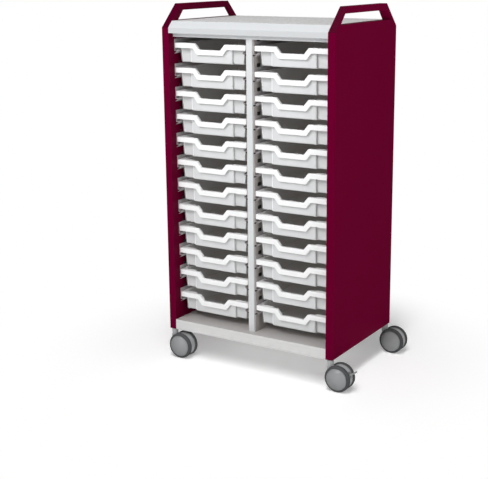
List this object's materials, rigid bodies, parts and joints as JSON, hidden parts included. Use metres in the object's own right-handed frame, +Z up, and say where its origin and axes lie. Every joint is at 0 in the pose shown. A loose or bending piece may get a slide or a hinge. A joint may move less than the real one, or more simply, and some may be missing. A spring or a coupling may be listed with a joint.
{
  "type": "classroom tray storage unit",
  "caption": "Steel school storage unit on castors: two bays of shallow pull-out trays on runners, between side panels whose tops are loop handles.",
  "frame": {"origin": "on the floor, midway between the two side panels and midway between their front and rear edges", "axes": "+Z up, +X towards the right-hand side panel, -Y the way the trays pull out"},
  "size_m": [0.8128, 0.5304, 1.3645],
  "materials": {
    "panel_paint": "satin powder coat, deep claret",
    "top_laminate": "satin, speckled light grey",
    "white_paint": "satin powder coat, off white",
    "divider_paint": "satin powder coat, mid grey",
    "runner_plastic": "moulded, pale grey",
    "tray_plastic": "moulded, white, soft gloss",
    "castor_plastic": "moulded, mid grey",
    "castor_tyre": "moulded, dark grey",
    "steel": "zinc plated"
  },
  "bodies": {
    "carcass": {"side_panel_left_outer": "panel_paint", "side_panel_left_inner": "panel_paint", "side_panel_right_outer": "panel_paint", "side_panel_right_inner": "panel_paint", "top_panel": "top_laminate", "top_rails": "white_paint", "bottom_shelf": "white_paint", "back_panel": "white_paint", "centre_divider": "divider_paint", "divider_strips": "divider_paint", "runners_left_outer": "runner_plastic", "runners_left_inner": "runner_plastic", "runners_right_inner": "runner_plastic", "runners_right_outer": "runner_plastic", "castor_sockets": "steel", "castor_pins": "steel", "back_screws": "steel"},
    "tray_left_01": {"tray_left_01": "tray_plastic"},
    "tray_left_02": {"tray_left_02": "tray_plastic"},
    "tray_left_03": {"tray_left_03": "tray_plastic"},
    "tray_left_04": {"tray_left_04": "tray_plastic"},
    "tray_left_05": {"tray_left_05": "tray_plastic"},
    "tray_left_06": {"tray_left_06": "tray_plastic"},
    "tray_left_07": {"tray_left_07": "tray_plastic"},
    "tray_left_08": {"tray_left_08": "tray_plastic"},
    "tray_left_09": {"tray_left_09": "tray_plastic"},
    "tray_left_10": {"tray_left_10": "tray_plastic"},
    "tray_left_11": {"tray_left_11": "tray_plastic"},
    "tray_left_12": {"tray_left_12": "tray_plastic"},
    "tray_right_01": {"tray_right_01": "tray_plastic"},
    "tray_right_02": {"tray_right_02": "tray_plastic"},
    "tray_right_03": {"tray_right_03": "tray_plastic"},
    "tray_right_04": {"tray_right_04": "tray_plastic"},
    "tray_right_05": {"tray_right_05": "tray_plastic"},
    "tray_right_06": {"tray_right_06": "tray_plastic"},
    "tray_right_07": {"tray_right_07": "tray_plastic"},
    "tray_right_08": {"tray_right_08": "tray_plastic"},
    "tray_right_09": {"tray_right_09": "tray_plastic"},
    "tray_right_10": {"tray_right_10": "tray_plastic"},
    "tray_right_11": {"tray_right_11": "tray_plastic"},
    "tray_right_12": {"tray_right_12": "tray_plastic"},
    "swivel_front_left": {"castor_housing_front_left": "castor_plastic", "castor_axle_front_left": "steel"},
    "wheels_front_left": {"castor_wheels_front_left": "castor_plastic", "castor_tyres_front_left": "castor_tyre"},
    "swivel_front_right": {"castor_housing_front_right": "castor_plastic", "castor_axle_front_right": "steel"},
    "wheels_front_right": {"castor_wheels_front_right": "castor_plastic", "castor_tyres_front_right": "castor_tyre"},
    "lever_front_right": {"brake_lever_front_right": "castor_plastic"},
    "swivel_rear_left": {"castor_housing_rear_left": "castor_plastic", "castor_axle_rear_left": "steel"},
    "wheels_rear_left": {"castor_wheels_rear_left": "castor_plastic", "castor_tyres_rear_left": "castor_tyre"},
    "lever_rear_left": {"brake_lever_rear_left": "castor_plastic"},
    "swivel_rear_right": {"castor_housing_rear_right": "castor_plastic", "castor_axle_rear_right": "steel"},
    "wheels_rear_right": {"castor_wheels_rear_right": "castor_plastic", "castor_tyres_rear_right": "castor_tyre"}
  },
  "joints": [
    {"name": "pull_left_01", "type": "slide", "parent": "carcass", "child": "tray_left_01", "axis": [0, -1, 0], "range_m": [0, 0.42]},
    {"name": "pull_left_02", "type": "slide", "parent": "carcass", "child": "tray_left_02", "axis": [0, -1, 0], "range_m": [0, 0.42]},
    {"name": "pull_left_03", "type": "slide", "parent": "carcass", "child": "tray_left_03", "axis": [0, -1, 0], "range_m": [0, 0.42]},
    {"name": "pull_left_04", "type": "slide", "parent": "carcass", "child": "tray_left_04", "axis": [0, -1, 0], "range_m": [0, 0.42]},
    {"name": "pull_left_05", "type": "slide", "parent": "carcass", "child": "tray_left_05", "axis": [0, -1, 0], "range_m": [0, 0.42]},
    {"name": "pull_left_06", "type": "slide", "parent": "carcass", "child": "tray_left_06", "axis": [0, -1, 0], "range_m": [0, 0.42]},
    {"name": "pull_left_07", "type": "slide", "parent": "carcass", "child": "tray_left_07", "axis": [0, -1, 0], "range_m": [0, 0.42]},
    {"name": "pull_left_08", "type": "slide", "parent": "carcass", "child": "tray_left_08", "axis": [0, -1, 0], "range_m": [0, 0.42]},
    {"name": "pull_left_09", "type": "slide", "parent": "carcass", "child": "tray_left_09", "axis": [0, -1, 0], "range_m": [0, 0.42]},
    {"name": "pull_left_10", "type": "slide", "parent": "carcass", "child": "tray_left_10", "axis": [0, -1, 0], "range_m": [0, 0.42]},
    {"name": "pull_left_11", "type": "slide", "parent": "carcass", "child": "tray_left_11", "axis": [0, -1, 0], "range_m": [0, 0.42]},
    {"name": "pull_left_12", "type": "slide", "parent": "carcass", "child": "tray_left_12", "axis": [0, -1, 0], "range_m": [0, 0.42]},
    {"name": "pull_right_01", "type": "slide", "parent": "carcass", "child": "tray_right_01", "axis": [0, -1, 0], "range_m": [0, 0.42]},
    {"name": "pull_right_02", "type": "slide", "parent": "carcass", "child": "tray_right_02", "axis": [0, -1, 0], "range_m": [0, 0.42]},
    {"name": "pull_right_03", "type": "slide", "parent": "carcass", "child": "tray_right_03", "axis": [0, -1, 0], "range_m": [0, 0.42]},
    {"name": "pull_right_04", "type": "slide", "parent": "carcass", "child": "tray_right_04", "axis": [0, -1, 0], "range_m": [0, 0.42]},
    {"name": "pull_right_05", "type": "slide", "parent": "carcass", "child": "tray_right_05", "axis": [0, -1, 0], "range_m": [0, 0.42]},
    {"name": "pull_right_06", "type": "slide", "parent": "carcass", "child": "tray_right_06", "axis": [0, -1, 0], "range_m": [0, 0.42]},
    {"name": "pull_right_07", "type": "slide", "parent": "carcass", "child": "tray_right_07", "axis": [0, -1, 0], "range_m": [0, 0.42]},
    {"name": "pull_right_08", "type": "slide", "parent": "carcass", "child": "tray_right_08", "axis": [0, -1, 0], "range_m": [0, 0.42]},
    {"name": "pull_right_09", "type": "slide", "parent": "carcass", "child": "tray_right_09", "axis": [0, -1, 0], "range_m": [0, 0.42]},
    {"name": "pull_right_10", "type": "slide", "parent": "carcass", "child": "tray_right_10", "axis": [0, -1, 0], "range_m": [0, 0.42]},
    {"name": "pull_right_11", "type": "slide", "parent": "carcass", "child": "tray_right_11", "axis": [0, -1, 0], "range_m": [0, 0.42]},
    {"name": "pull_right_12", "type": "slide", "parent": "carcass", "child": "tray_right_12", "axis": [0, -1, 0], "range_m": [0, 0.42]},
    {"name": "castor_turn_front_left", "type": "hinge", "parent": "carcass", "child": "swivel_front_left", "pos_m": [-0.34625, -0.232, 0.1], "axis": [0, 0, 1], "continuous": true},
    {"name": "wheel_spin_front_left", "type": "hinge", "parent": "swivel_front_left", "child": "wheels_front_left", "pos_m": [-0.30775, -0.232, 0.05], "axis": [0, 1, 0], "continuous": true},
    {"name": "castor_turn_front_right", "type": "hinge", "parent": "carcass", "child": "swivel_front_right", "pos_m": [0.34625, -0.232, 0.1], "axis": [0, 0, 1], "continuous": true},
    {"name": "wheel_spin_front_right", "type": "hinge", "parent": "swivel_front_right", "child": "wheels_front_right", "pos_m": [0.38475, -0.232, 0.05], "axis": [0, 1, 0], "continuous": true},
    {"name": "brake_press_front_right", "type": "hinge", "parent": "swivel_front_right", "child": "lever_front_right", "pos_m": [0.4167, -0.232, 0.06163], "axis": [0, 1, 0], "range_deg": [0, 20]},
    {"name": "castor_turn_rear_left", "type": "hinge", "parent": "carcass", "child": "swivel_rear_left", "pos_m": [-0.34625, 0.232, 0.1], "axis": [0, 0, 1], "continuous": true},
    {"name": "wheel_spin_rear_left", "type": "hinge", "parent": "swivel_rear_left", "child": "wheels_rear_left", "pos_m": [-0.30775, 0.232, 0.05], "axis": [0, 1, 0], "continuous": true},
    {"name": "brake_press_rear_left", "type": "hinge", "parent": "swivel_rear_left", "child": "lever_rear_left", "pos_m": [-0.2758, 0.232, 0.06163], "axis": [0, 1, 0], "range_deg": [0, 20]},
    {"name": "castor_turn_rear_right", "type": "hinge", "parent": "carcass", "child": "swivel_rear_right", "pos_m": [0.34625, 0.232, 0.1], "axis": [0, 0, 1], "continuous": true},
    {"name": "wheel_spin_rear_right", "type": "hinge", "parent": "swivel_rear_right", "child": "wheels_rear_right", "pos_m": [0.38475, 0.232, 0.05], "axis": [0, 1, 0], "continuous": true}
  ]
}
